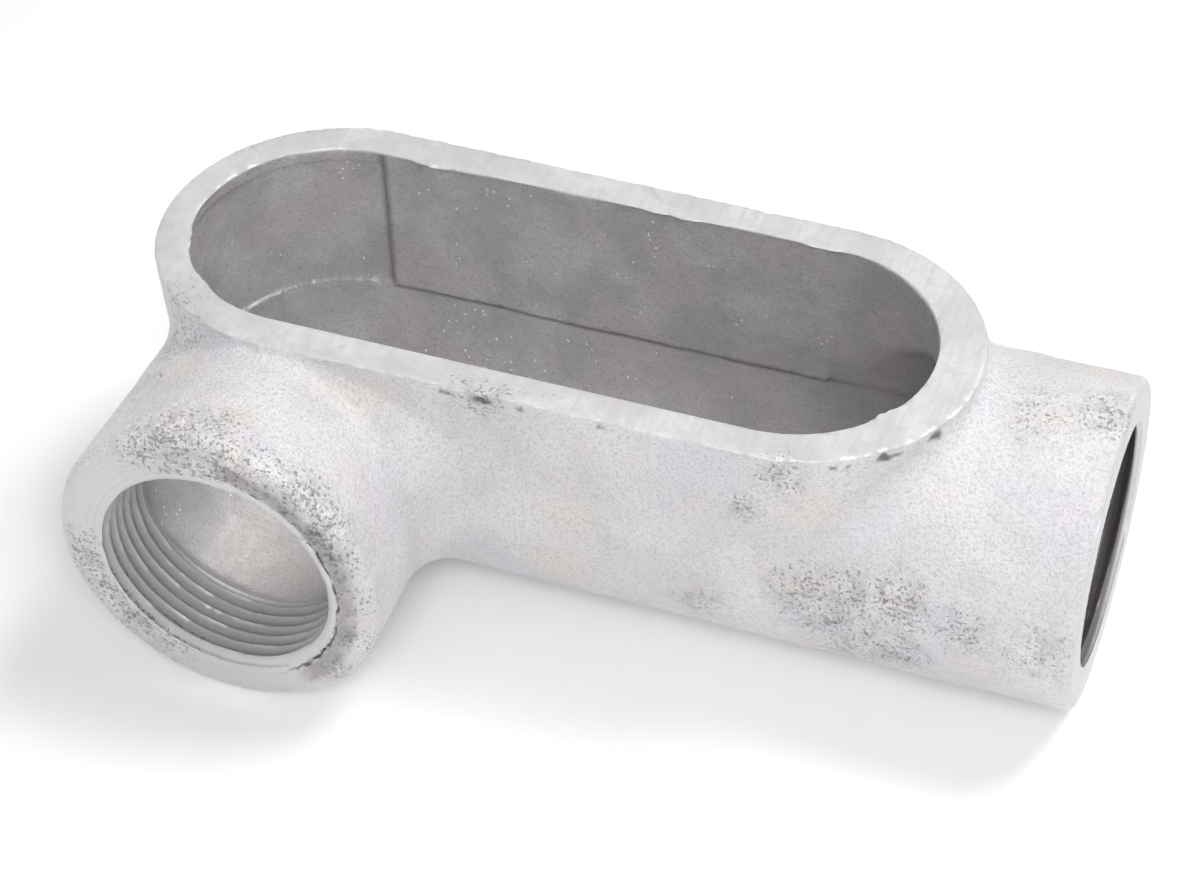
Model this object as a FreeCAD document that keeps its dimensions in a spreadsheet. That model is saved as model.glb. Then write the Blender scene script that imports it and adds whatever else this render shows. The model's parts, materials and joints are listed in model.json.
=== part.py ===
import FreeCAD, Part
import math
import os

import Sketcher

# Left-hand conduit body for 1-1/4 inch conduit: one aluminium casting, a hollow round-bottomed
# box under an obround cover opening (+Z), with a threaded hub in line (+X) and one on its side (-Y).
# The sketches are laid out from the point of the rim plane above the crossing of the hub axes.

# Driving sizes in millimetres: (name, value, what it is)
SIZES = [
    ("opening_r", 22.65, "half width of the cover opening and of the hollow under it"),
    ("opening_span", 79.8, "distance between the opening's two arc centres"),
    ("opening_shift", 1.0, "opening's left arc centre, left of the side hub's axis"),
    ("rim_left_width", 6.45, "width of the rim around the opening's left end"),
    ("rim_right_width", 5.75, "width of the rim around the opening's right end"),
    ("rim_span", 80.75, "distance between the rim's two outer arc centres"),
    ("rim_lift", 1.65, "height of the rim above the top of the straight hub"),
    ("lip_height", 2.3, "height of the lip under the rim plane at the left end"),
    ("pocket_step", 0.95, "undercut of the hollow's left end below the lip"),
    ("trough_step", 0.35, "step from the upright walls out to the hollow's round bottom"),
    ("barrel_wall", 4.25, "wall of the round bottom and of the straight hub"),
    ("barrel_reach", 132.2, "straight hub's face from the side hub's axis"),
    ("barrel_edge", 1.5, "round on the straight hub's outer edge"),
    ("side_wall", 3.9, "side hub's radius over the hollow's at the straight hub's axis"),
    ("side_flare", 0.8, "growth of the side hub's radius from there to its face"),
    ("side_reach", 52.25, "side hub's face from the straight hub's axis"),
    ("side_edge", 2.5, "round on the side hub's outer edge"),
    ("hub_blend", 9.0, "fillet between the side hub and the body"),
    ("bore_r", 19.2, "crest radius of the conduit threads"),
    ("bore_length", 14.0, "length of the threaded wall in each hub"),
    ("thread_pitch", 2.209, "pitch of the conduit threads, 11.5 turns to the inch"),
    ("thread_depth", 1.65, "depth of the threads' grooves"),
    ("crest_land", 0.3, "width of the flat left on each crest"),
    ("passage_step", 2.8, "side hub's passage over its thread, in radius"),
    ("shoulder", 3.2, "length of the cone between a thread and its passage"),
    ("mouth", 0.6, "chamfer at the mouth of each bore"),
]

# Lengths that are sums of driving sizes
SUMS = {
    "rim_left_r": ["opening_r", "rim_left_width"],
    "rim_right_r": ["opening_r", "rim_right_width"],
    "pocket_r": ["opening_r", "pocket_step"],
    "trough_r": ["opening_r", "trough_step"],
    "barrel_r": ["opening_r", "trough_step", "barrel_wall"],
    "hub_depth": ["opening_r", "trough_step", "barrel_wall", "rim_lift"],
    "side_root_r": ["opening_r", "trough_step", "side_wall"],
    "side_hub_r": ["opening_r", "trough_step", "side_wall", "side_flare"],
    "side_passage_r": ["bore_r", "passage_step"],
}

ORIGIN = (-1, 1)
H_AXIS = (-1,)
V_AXIS = (-2,)
START, END, CENTRE = range(1, 4)
PASSAGE_START = "Sizes.opening_span - Sizes.opening_shift"
TURNS = "floor((Sizes.bore_length - Sizes.mouth) / Sizes.thread_pitch)"
FIRST_TURN = "(Sizes.bore_length + Sizes.mouth - (%s - 1) * Sizes.thread_pitch) / 2" % TURNS
FLANK_RUN = "Sizes.thread_pitch - Sizes.crest_land"


def formula(name):
    """Expression that gives a size, from the spreadsheet's cells."""
    return "(%s)" % " + ".join("Sizes." + cell for cell in SUMS.get(name, [name]))


def size(sheet, name):
    """Present value of a size, for laying out a sketch before it is constrained."""
    return sum(sheet.get(cell) for cell in SUMS.get(name, [name]))


def make_sheet(doc):
    """Spreadsheet of the driving sizes, one named cell per row."""
    sheet = doc.addObject("Spreadsheet::Sheet", "Sizes")
    for row, (name, value, note) in enumerate(SIZES, start=1):
        sheet.set("A%d" % row, name)
        sheet.set("B%d" % row, str(value))
        sheet.set("C%d" % row, note)
        sheet.setAlias("B%d" % row, name)
    doc.recompute()
    return sheet


def plane_sketch(body, name, role):
    """Sketch on one of the body's own origin planes."""
    plane = next(f for f in body.Origin.OriginFeatures if f.Role == role)
    sketch = body.newObject("Sketcher::SketchObject", name)
    sketch.AttachmentSupport = [(plane, "")]
    sketch.MapMode = "FlatFace"
    return sketch


def level_sketch(body, name, level="0 mm"):
    """Sketch in the horizontal plane whose height an expression gives."""
    sketch = plane_sketch(body, name, "XY_Plane")
    sketch.setExpression("AttachmentOffset.Base.z", level)
    return sketch


def upright_sketch(body, name, role):
    """Sketch in an upright plane, with its horizontal axis at the height of the hub axes."""
    sketch = plane_sketch(body, name, role)
    sketch.setExpression("AttachmentOffset.Base.y", "-" + formula("hub_depth"))
    return sketch


def add_line(sketch, start, end):
    """Adds a line segment and gives its number."""
    segment = Part.LineSegment(FreeCAD.Vector(*start, 0), FreeCAD.Vector(*end, 0))
    return sketch.addGeometry(segment, False)


def add_arc(sketch, centre, radius, first_deg, last_deg):
    """Adds a counter-clockwise arc and gives its number."""
    circle = Part.Circle(FreeCAD.Vector(*centre, 0), FreeCAD.Vector(0, 0, 1), radius)
    arc = Part.ArcOfCircle(circle, math.radians(first_deg), math.radians(last_deg))
    return sketch.addGeometry(arc, False)


def tie(sketch, kind, *refs):
    """Adds a geometric constraint."""
    sketch.addConstraint(Sketcher.Constraint(kind, *refs))


def measure(sketch, expression, kind, *refs):
    """Adds a dimension that follows an expression."""
    index = sketch.addConstraint(Sketcher.Constraint(kind, *refs))
    sketch.setExpression("Constraints[%d]" % index, expression)


def obround(sketch, sheet, left, right, span, shift=None):
    """Obround outline from the names of its two radii, its span and its shift to the left."""
    r0, r1, length = [size(sheet, name) for name in (left, right, span)]
    x0 = -size(sheet, shift) if shift else 0.0
    left_arc = add_arc(sketch, (x0, 0), r0, 90, 270)
    right_arc = add_arc(sketch, (x0 + length, 0), r1, -90, 90)
    near = add_line(sketch, (x0, -r0), (x0 + length, -r1))
    far = add_line(sketch, (x0 + length, r1), (x0, r0))
    tie(sketch, "Tangent", left_arc, END, near, START)
    tie(sketch, "Tangent", near, END, right_arc, START)
    tie(sketch, "Tangent", right_arc, END, far, START)
    tie(sketch, "Tangent", far, END, left_arc, START)
    tie(sketch, "PointOnObject", left_arc, CENTRE, *H_AXIS)
    tie(sketch, "PointOnObject", right_arc, CENTRE, *H_AXIS)
    measure(sketch, formula(left), "Radius", left_arc, r0)
    measure(sketch, formula(right), "Radius", right_arc, r1)
    measure(sketch, formula(span), "DistanceX", left_arc, CENTRE, right_arc, CENTRE, length)
    if shift:
        measure(sketch, formula(shift), "DistanceX", left_arc, CENTRE, *ORIGIN, -x0)
    else:
        tie(sketch, "PointOnObject", left_arc, CENTRE, *V_AXIS)


def revolve(body, kind, name, sketch, axis, angle=360.0):
    """Revolution or Groove of a sketch about one of its own axes."""
    feature = body.newObject("PartDesign::" + kind, name)
    feature.Profile = sketch
    feature.ReferenceAxis = (sketch, [axis])
    feature.Angle = angle
    return feature


def add_walls(body, sheet):
    """Walls of the box: from the rim outline down to the width of the round bottom."""
    rim = level_sketch(body, "RimOutline")
    obround(rim, sheet, "rim_left_r", "rim_right_r", "rim_span")
    foot = level_sketch(body, "WallFoot", "-" + formula("hub_depth"))
    obround(foot, sheet, "barrel_r", "barrel_r", "rim_span")
    walls = body.newObject("PartDesign::AdditiveLoft", "Walls")
    walls.Profile = rim
    walls.Sections = [foot]
    walls.Ruled = True


def add_barrel(body, sheet):
    """Round bottom with its domed left end, and the straight hub, about the hub's axis."""
    r, reach, edge = [size(sheet, name) for name in ("barrel_r", "barrel_reach", "barrel_edge")]
    sketch = upright_sketch(body, "BarrelProfile", "XZ_Plane")
    dome = add_arc(sketch, (0, 0), r, 90, 180)
    side = add_line(sketch, (0, r), (reach - edge, r))
    corner = add_arc(sketch, (reach - edge, r - edge), edge, 0, 90)
    face = add_line(sketch, (reach, r - edge), (reach, 0))
    axis = add_line(sketch, (reach, 0), (-r, 0))
    tie(sketch, "Coincident", dome, CENTRE, *ORIGIN)
    tie(sketch, "Tangent", dome, START, side, START)
    tie(sketch, "Horizontal", side)
    tie(sketch, "Tangent", side, END, corner, END)
    tie(sketch, "Tangent", corner, START, face, START)
    tie(sketch, "Vertical", face)
    tie(sketch, "Coincident", face, END, axis, START)
    tie(sketch, "Coincident", axis, END, dome, END)
    tie(sketch, "PointOnObject", axis, START, *H_AXIS)
    tie(sketch, "PointOnObject", axis, END, *H_AXIS)
    measure(sketch, formula("barrel_r"), "Radius", dome, r)
    measure(sketch, formula("barrel_edge"), "Radius", corner, edge)
    measure(sketch, formula("barrel_reach"), "DistanceX", *ORIGIN, axis, START, reach)
    revolve(body, "Revolution", "Barrel", sketch, "H_Axis")


def add_side_hub(body, sheet):
    """Side hub, slightly wider at its face, about its own axis."""
    names = ("side_root_r", "side_hub_r", "side_reach", "side_edge")
    root, r, reach, edge = [size(sheet, name) for name in names]
    sketch = upright_sketch(body, "SideHubProfile", "YZ_Plane")
    back = add_line(sketch, (0, 0), (0, -root))
    side = add_line(sketch, (0, -root), (edge - reach, -r))
    corner = add_arc(sketch, (edge - reach, edge - r), edge, 180, 270)
    face = add_line(sketch, (-reach, edge - r), (-reach, 0))
    axis = add_line(sketch, (-reach, 0), (0, 0))
    tie(sketch, "Coincident", back, START, *ORIGIN)
    tie(sketch, "Vertical", back)
    tie(sketch, "Coincident", back, END, side, START)
    tie(sketch, "Tangent", side, END, corner, END)
    tie(sketch, "Tangent", corner, START, face, START)
    tie(sketch, "Vertical", face)
    tie(sketch, "Coincident", face, END, axis, START)
    tie(sketch, "Coincident", axis, END, *ORIGIN)
    tie(sketch, "Horizontal", axis)
    corner_drop = "%s - Sizes.side_edge" % formula("side_hub_r")
    measure(sketch, formula("side_root_r"), "DistanceY", back, END, *ORIGIN, root)
    measure(sketch, corner_drop, "DistanceY", corner, CENTRE, *ORIGIN, r - edge)
    measure(sketch, formula("side_edge"), "Radius", corner, edge)
    measure(sketch, formula("side_reach"), "DistanceX", face, END, *ORIGIN, reach)
    revolve(body, "Revolution", "SideHub", sketch, "H_Axis")


def add_hub_blend(body, doc):
    """Fillet along the crease where the side hub leaves the body towards the straight hub."""
    doc.recompute()
    base = body.Tip
    names = []
    for number, edge in enumerate(base.Shape.Edges, start=1):
        kinds = [face.Surface.TypeId for face in base.Shape.ancestorsOfType(edge, Part.Face)]
        on_cone = kinds.count("Part::GeomCone") == 1
        on_body = "Part::GeomBSplineSurface" in kinds or "Part::GeomCylinder" in kinds
        if on_cone and on_body and edge.CenterOfMass.x > 0:
            names.append("Edge%d" % number)
    fillet = body.newObject("PartDesign::Fillet", "HubBlend")
    fillet.Base = (base, names)
    fillet.setExpression("Radius", formula("hub_blend"))


def cut_down(body, name, sketch, depth):
    """Pocket of a sketch, straight down by an expression."""
    pocket = body.newObject("PartDesign::Pocket", name)
    pocket.Profile = sketch
    pocket.Type = "Length"
    pocket.setExpression("Length", depth)


def cut_opening(body, sheet):
    """Cover opening and the straight walls under it, down to the hub axes."""
    sketch = level_sketch(body, "OpeningOutline")
    obround(sketch, sheet, "opening_r", "opening_r", "opening_span", "opening_shift")
    cut_down(body, "Opening", sketch, formula("hub_depth"))


def cut_end_pocket(body, sheet):
    """Left end of the hollow, a little wider than the opening's lip above it."""
    r, shift = size(sheet, "pocket_r"), size(sheet, "opening_shift")
    sketch = level_sketch(body, "EndPocketOutline", "-" + formula("lip_height"))
    wall = add_arc(sketch, (-shift, 0), r, 90, 270)
    chord = add_line(sketch, (-shift, -r), (-shift, r))
    tie(sketch, "Coincident", wall, END, chord, START)
    tie(sketch, "Coincident", wall, START, chord, END)
    tie(sketch, "PointOnObject", wall, CENTRE, chord)
    tie(sketch, "PointOnObject", wall, CENTRE, *H_AXIS)
    tie(sketch, "Vertical", chord)
    measure(sketch, formula("pocket_r"), "Radius", wall, r)
    measure(sketch, formula("opening_shift"), "DistanceX", wall, CENTRE, *ORIGIN, shift)
    cut_down(body, "EndPocket", sketch, "%s - Sizes.lip_height" % formula("hub_depth"))


def cut_trough(body, sheet):
    """Lower half of the hollow: a half-round trough with a domed left end."""
    r, shift = size(sheet, "trough_r"), size(sheet, "opening_shift")
    end = size(sheet, "opening_span") - shift
    sketch = level_sketch(body, "TroughProfile", "-" + formula("hub_depth"))
    dome = add_arc(sketch, (-shift, 0), r, 90, 180)
    side = add_line(sketch, (-shift, r), (end, r))
    close = add_line(sketch, (end, r), (end, 0))
    axis = add_line(sketch, (end, 0), (-shift - r, 0))
    tie(sketch, "Tangent", dome, START, side, START)
    tie(sketch, "Horizontal", side)
    tie(sketch, "Coincident", side, END, close, START)
    tie(sketch, "Vertical", close)
    tie(sketch, "Coincident", close, END, axis, START)
    tie(sketch, "Coincident", axis, END, dome, END)
    tie(sketch, "PointOnObject", dome, CENTRE, *H_AXIS)
    tie(sketch, "PointOnObject", axis, START, *H_AXIS)
    tie(sketch, "PointOnObject", axis, END, *H_AXIS)
    measure(sketch, formula("trough_r"), "Radius", dome, r)
    measure(sketch, formula("opening_shift"), "DistanceX", dome, CENTRE, *ORIGIN, shift)
    measure(sketch, PASSAGE_START, "DistanceX", *ORIGIN, axis, START, end)
    groove = revolve(body, "Groove", "Trough", sketch, "H_Axis", 180.0)
    groove.Reversed = True


def bored_profile(sketch, along, inner_r, reach, start, sheet):
    """Half section of a hub's passage, shoulder, bore and mouth chamfer.

    along turns a distance along the hub's axis and a radius into sketch coordinates.
    Gives the numbers of the section's lines, from the inner end of the passage outwards.
    """
    r, mouth = size(sheet, "bore_r"), size(sheet, "mouth")
    inside = reach - size(sheet, "bore_length")
    points = [
        along(start, 0),
        along(start, inner_r),
        along(inside - size(sheet, "shoulder"), inner_r),
        along(inside, r),
        along(reach - mouth, r),
        along(reach, r + mouth),
        along(reach, 0),
    ]
    lines = [add_line(sketch, a, b) for a, b in zip(points, points[1:] + points[:1])]
    for first, second in zip(lines, lines[1:] + lines[:1]):
        tie(sketch, "Coincident", first, END, second, START)
    return lines


def measure_bore(sketch, sheet, along, across, shoulder, bore, mouth):
    """Dimensions of a hub's shoulder, bore and mouth.

    along and across give a measure's kind and its two points in order, so that it is positive.
    """
    cone = [shoulder, START, shoulder, END]
    wall = [bore, START, mouth, END]
    edge = [mouth, START, mouth, END]
    for points, name in ((cone, "shoulder"), (wall, "bore_length"), (edge, "mouth")):
        kind, ordered = along(points)
        measure(sketch, formula(name), kind, *ordered, size(sheet, name))
    measure(sketch, formula("mouth"), across, *edge, size(sheet, "mouth"))
    measure(sketch, formula("bore_r"), across, *ORIGIN, bore, START, size(sheet, "bore_r"))


def cut_straight_hub(body, sheet):
    """Passage from the trough into the straight hub, its thread bore and its mouth."""
    start = size(sheet, "opening_span") - size(sheet, "opening_shift")
    inner, reach = size(sheet, "trough_r"), size(sheet, "barrel_reach")
    sketch = upright_sketch(body, "StraightBoreProfile", "XZ_Plane")
    back, passage, shoulder, bore, mouth, face, axis = bored_profile(
        sketch, lambda a, r: (a, r), inner, reach, start, sheet)
    for part in (back, face):
        tie(sketch, "Vertical", part)
    for part in (passage, bore):
        tie(sketch, "Horizontal", part)
    tie(sketch, "PointOnObject", axis, START, *H_AXIS)
    tie(sketch, "PointOnObject", axis, END, *H_AXIS)
    measure(sketch, PASSAGE_START, "DistanceX", *ORIGIN, back, START, start)
    measure(sketch, formula("trough_r"), "DistanceY", back, START, back, END, inner)
    measure(sketch, formula("barrel_reach"), "DistanceX", *ORIGIN, face, END, reach)
    measure_bore(sketch, sheet, lambda points: ("DistanceX", points), "DistanceY",
                 shoulder, bore, mouth)
    revolve(body, "Groove", "StraightBore", sketch, "H_Axis")


def cut_side_hub(body, sheet):
    """Passage from the hollow's middle plane into the side hub, its thread bore and its mouth."""
    inner, reach = size(sheet, "side_passage_r"), size(sheet, "side_reach")
    sketch = level_sketch(body, "SideBoreProfile", "-" + formula("hub_depth"))
    back, passage, shoulder, bore, mouth, face, axis = bored_profile(
        sketch, lambda a, r: (r, -a), inner, reach, 0.0, sheet)
    for part in (back, face):
        tie(sketch, "Horizontal", part)
    for part in (passage, bore):
        tie(sketch, "Vertical", part)
    tie(sketch, "Coincident", back, START, *ORIGIN)
    tie(sketch, "PointOnObject", axis, START, *V_AXIS)
    measure(sketch, formula("side_passage_r"), "DistanceX", back, START, back, END, inner)
    measure(sketch, formula("side_reach"), "DistanceY", face, END, *ORIGIN, reach)
    measure_bore(sketch, sheet, lambda points: ("DistanceY", points[2:] + points[:2]),
                 "DistanceX", shoulder, bore, mouth)
    revolve(body, "Groove", "SideBore", sketch, "V_Axis")


def ring_profile(sketch, sheet, reach, along, ahead, across, base_kind):
    """V section of a thread's turn nearest the hub's face, run on as far inside the bore's wall.

    along turns a distance along the hub's axis and a radius into sketch coordinates. ahead puts
    two points in the order that makes the measure along the axis positive, with its kind. across
    is the kind of measure across the axis, and base_kind the way the V's open side lies.
    """
    names = ("bore_r", "thread_depth", "thread_pitch", "crest_land", "bore_length", "mouth")
    r, depth, pitch, land, length, mouth = [size(sheet, name) for name in names]
    turns = math.floor((length - mouth) / pitch)
    centre = size(sheet, reach) - (length + mouth - (turns - 1) * pitch) / 2
    run = pitch - land
    corners = [along(centre - run, r - depth), along(centre + run, r - depth), along(centre, r + depth)]
    lines = [add_line(sketch, a, b) for a, b in zip(corners, corners[1:] + corners[:1])]
    base, outer, inner = lines
    for first, second in zip(lines, lines[1:] + lines[:1]):
        tie(sketch, "Coincident", first, END, second, START)
    tie(sketch, base_kind, base)
    apex = [inner, START]
    spots = [
        ([*ORIGIN], apex, "%s - %s" % (formula(reach), FIRST_TURN), centre),
        ([base, START], apex, FLANK_RUN, run),
        (apex, [base, END], FLANK_RUN, run),
    ]
    for near, far, expression, value in spots:
        kind, points = ahead(near, far)
        measure(sketch, expression, kind, *points, value)
    measure(sketch, "Sizes.bore_r + Sizes.thread_depth", across, *ORIGIN, *apex, r + depth)
    measure(sketch, "Sizes.bore_r - Sizes.thread_depth", across, *ORIGIN, base, START, r - depth)


def repeat_turns(body, name, turn, sketch, axis, away):
    """Copies a thread's first turn inwards, one pitch at a time."""
    pattern = body.newObject("PartDesign::LinearPattern", name)
    pattern.Originals = [turn]
    pattern.Direction = (sketch, [axis])
    pattern.Reversed = away
    pattern.setExpression("Length", "(%s - 1) * Sizes.thread_pitch" % TURNS)
    pattern.setExpression("Occurrences", TURNS)
    body.Tip = pattern


def cut_straight_thread(body, sheet):
    """Turns of the straight hub's thread, drawn as rings."""
    sketch = upright_sketch(body, "StraightTurnProfile", "XZ_Plane")
    ring_profile(sketch, sheet, "barrel_reach", lambda a, r: (a, r),
                 lambda near, far: ("DistanceX", near + far), "DistanceY", "Horizontal")
    turn = revolve(body, "Groove", "StraightTurn", sketch, "H_Axis")
    repeat_turns(body, "StraightThread", turn, sketch, "H_Axis", True)


def cut_side_thread(body, sheet):
    """Turns of the side hub's thread, drawn as rings."""
    sketch = level_sketch(body, "SideTurnProfile", "-" + formula("hub_depth"))
    ring_profile(sketch, sheet, "side_reach", lambda a, r: (r, -a),
                 lambda near, far: ("DistanceY", far + near), "DistanceX", "Vertical")
    turn = revolve(body, "Groove", "SideTurn", sketch, "V_Axis")
    repeat_turns(body, "SideThread", turn, sketch, "V_Axis", False)


def make_casting(doc, sheet):
    """The casting, placed with its lowest level at zero and its box centred in plan."""
    body = doc.addObject("PartDesign::Body", "Casting")
    body.Label = "conduit_body"
    add_walls(body, sheet)
    add_barrel(body, sheet)
    add_side_hub(body, sheet)
    add_hub_blend(body, doc)
    steps = (cut_opening, cut_end_pocket, cut_trough, cut_straight_hub, cut_side_hub,
             cut_straight_thread, cut_side_thread)
    for step in steps:
        doc.recompute()
        before = body.Tip.Shape.Volume
        step(body, sheet)
        doc.recompute()
        if body.Tip.Shape.Volume >= before:
            raise RuntimeError("%s removed nothing" % body.Tip.Name)
    left, depth = formula("rim_left_r"), formula("hub_depth")
    widest = "max(%s; %s)" % (formula("side_hub_r"), formula("barrel_r"))
    body.setExpression("Placement.Base.x", "(%s - Sizes.barrel_reach) / 2" % left)
    body.setExpression("Placement.Base.y", "(Sizes.side_reach - %s) / 2" % left)
    body.setExpression("Placement.Base.z", "%s + %s" % (depth, widest))
    return body


def check(doc, parts):
    """Stops if any object failed or any part isn't one valid solid."""
    for obj in doc.Objects:
        if "Invalid" in obj.State or "Error" in obj.State:
            raise RuntimeError("%s failed: %s" % (obj.Name, obj.State))
    for part in parts:
        shape = part.Shape
        if shape.isNull() or not shape.isValid() or len(shape.Solids) != 1:
            raise RuntimeError("%s isn't one valid solid" % part.Label)


def main():
    doc = FreeCAD.newDocument("ConduitBody")
    sheet = make_sheet(doc)
    parts = [make_casting(doc, sheet)]
    doc.recompute()
    check(doc, parts)
    os.makedirs("parts", exist_ok=True)
    for part in parts:
        part.Shape.exportStep("parts/%s.step" % part.Label)
        box = part.Shape.optimalBoundingBox(True, False)
        print("%s: %.2f x %.2f x %.2f mm, %.1f cm3" % (
            part.Label, box.XLength, box.YLength, box.ZLength, part.Shape.Volume / 1000))


main()
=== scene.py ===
"""Looks of the conduit body: one sand-cast aluminium piece, polygonised from a description of its surface.

Lengths in the shape functions are millimetres in the casting's own layout: u along the straight hub from
the side hub's axis, v across it (the side hub points to -v), w upwards from the rim's ground face.
"""
import itertools
import json
import math

import bpy
import numpy as np
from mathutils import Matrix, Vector


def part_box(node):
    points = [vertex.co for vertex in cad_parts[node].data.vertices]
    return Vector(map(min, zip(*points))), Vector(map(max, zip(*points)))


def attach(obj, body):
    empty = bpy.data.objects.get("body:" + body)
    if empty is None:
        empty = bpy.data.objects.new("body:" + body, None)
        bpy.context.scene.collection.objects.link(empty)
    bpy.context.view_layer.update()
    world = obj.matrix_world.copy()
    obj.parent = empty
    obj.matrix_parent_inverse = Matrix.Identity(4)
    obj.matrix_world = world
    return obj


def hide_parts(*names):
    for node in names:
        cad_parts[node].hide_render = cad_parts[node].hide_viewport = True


NODE = "conduit_body"
MM = 0.001

# Outer form, mm
HUB_DEPTH = 28.9
BARREL_R = 27.25
BARREL_REACH = 132.2
BARREL_EDGE = 1.5
RIM_LEFT_R = 29.1
RIM_RIGHT_R = 28.4
RIM_SPAN = 80.75
RIM_TIP = 108.45
SIDE_ROOT_R = 26.9
SIDE_HUB_R = 27.7
SIDE_REACH = 52.25
SIDE_EDGE = 2.5
HUB_BLEND = 9.0
LEFT_BLEND = 6.0
TOP_BLEND = 4.0
TIP_ROUND = 1.2
RIM_BREAK = 0.35
EMERGING = (84.0, 16.0)         # where the barrel comes out of the walls: from, over
NEAR_RIM = (16.0, 12.0, 0.7)    # where the side hub's blend shrinks: height from, over, by this share

# Hollow, mm
OPENING_R = 22.65
OPENING_SPAN = 79.8
OPENING_SHIFT = 1.0
LIP = 2.3
POCKET_R = 23.6
TROUGH_R = 23.05
SIDE_PASSAGE_R = 22.0
SHOULDER = 3.2
OVERLAP = 3.0                   # how far the opening reaches down into the trough
OVERRUN = 20.0                  # how far the trough reaches into the straight hub's passage
HOLLOW_ROUND = 0.3
PASSAGE_ROUND = 0.8
LIP_ROUND = 0.25

# Threads, mm
THREAD_LENGTH = 14.0
CREST_R = 19.2
PITCH = 25.4 / 11.5
THREAD_DEPTH = 0.8 * PITCH
THREAD_TAPER = 1.0 / 32.0
CREST_FLAT = 0.10
BORE_ZONE_R = 23.0              # inside this radius a hub's end is turned metal
THREAD_START = (0.5, 1.2)       # where its depth grows from nothing: ahead of the face, over
THREAD_END = (0.3, 1.6)         # where it runs out: past the thread's length, over
MOUTH = 0.6
BORE_SLOPE = 0.8                # keeps the distance in a threaded bore below the true one

# Surface of the metal, mm
SKIN_ROOM = 0.12                # how far the skin lies inside the solids, to keep its bumps in their box
WAVE_HEIGHT = 0.16
LUMP_HEIGHT = 0.10
GRAIN_HEIGHT = 0.045
PIT_DEPTH = 0.35
CHIP_SHARE = 0.7
CHIP_FADE = (2.4, 1.8)          # below the rim's face: from, over
BURR_FADE = (0.9, 0.6)
FACE_FADE = (0.5, 0.3)          # depth of a tool's cut under a face: from, over
HOLLOW_FADE = (0.9, 0.8)        # depth from which a point is in the hollow: from, over
CREVICE_LEVEL = -1.5            # where dirt sits under the chips
CREVICE_HEIGHT = 0.7

# Dirt and painted shade, 0 to 1
BAND_DIRT = 0.55                # on the rough band beyond the spot face
CHIP_DIRT = 0.95
END_SHADE = 0.85                 # painted shade in the straight hub's bore
PITS_FROM = 0.62                # level of the pits' noise from which there is a pit

# Mesh
GRID_U = (-30.3, 133.4)         # mm
GRID_V = (-53.4, 30.3)
GRID_W = (-57.9, 1.3)
COARSE, FINE = 0.66, 0.3
THREAD_ZONE = 15.6
RIM_ZONE = (-1.3, 1.0)
SLAB = 16                       # grid planes worked out at a time
SHEET_ROUNDS = 8
CENTRE_PULL = 0.06              # holds a cell's vertex near the mean of its crossings
TRIANGLES = 190000
KEPT_PAST, KEPT_R = 0.8, 21.4   # mm: what lies in the threads is never thinned out
SHARP_FROM = 40.0               # degrees

# Stage and light: lengths in metres, powers in watts
FLOOR_SIZE = 6.0
WORLD_LEVEL = 0.34
FLOOR_SEEN = 1.10
KEY_PLACE = (0.38, 0.30, 0.95)
KEY_SIZE = (0.40, 0.40)
KEY_POWER = 5.4
FILL_PLACE = (0.27, -0.66, 0.72)
FILL_SIZE = (0.40, 0.40)
FILL_POWER = 4.5
LAMP_TARGET = (0.0, 0.0, 0.03)

# Camera: place in metres, lens and sensor in mm
CAMERA_PLACE = (0.12199, -0.32073, 0.35412)
CAMERA_TURN = (47.159, 1.0595, 20.039)      # degrees
CAMERA_LENS = 87.29
SENSOR_WIDTH = 36.0

# Colours
SKIN, SKIN_LIGHT = (0.70, 0.695, 0.70), (0.78, 0.775, 0.775)
SKIN_WARM, SKIN_LILAC = (0.79, 0.72, 0.695), (0.72, 0.695, 0.755)
SKIN_GRAIN = (0.44, 0.43, 0.44)
# The hollow's colours are darker than the outer skin's: painted shade in the hollow.
HOLLOW, HOLLOW_LIGHT = (0.47, 0.465, 0.47), (0.58, 0.57, 0.575)
# The second colour on the next line is painted shade, deepening towards the straight hub's end.
HOLLOW_WARM, HOLLOW_FAR_SHADE = (0.57, 0.515, 0.51), (0.33, 0.33, 0.35)
HOLLOW_GRAIN = (0.27, 0.27, 0.28)
SPECKS = (0.88, 0.88, 0.87)
# Painted shadow under the hollow's ledge and in its crease:
SEAM_SHADOW = (0.10, 0.10, 0.11)
GROUND, GROUND_LIGHT = (0.585, 0.59, 0.585), (0.665, 0.665, 0.66)
SCRATCHES, MOTTLES, STAINS = (0.50, 0.505, 0.51), (0.53, 0.53, 0.535), (0.57, 0.54, 0.535)
TURNED, TURNED_LIGHT = (0.615, 0.615, 0.625), (0.65, 0.65, 0.66)
# Painted shade: the last colour darkens the threads deep in the bores.
TURNED_SHADED = (0.46, 0.455, 0.46)
# The first colour is for smudges of wear and for painted shade on the side hub's left side.
SMUDGE_AND_SHADE, FINE_PITS = (0.36, 0.345, 0.355), (0.22, 0.21, 0.215)
# The second colour is for dirt and for the painted shade in the straight hub's bore.
CRACK, DIRT_AND_SHADE = (0.10, 0.09, 0.09), (0.12, 0.105, 0.105)
FLOOR = (0.95, 0.95, 0.955)
WHITE = (1.0, 1.0, 1.0)
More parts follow.
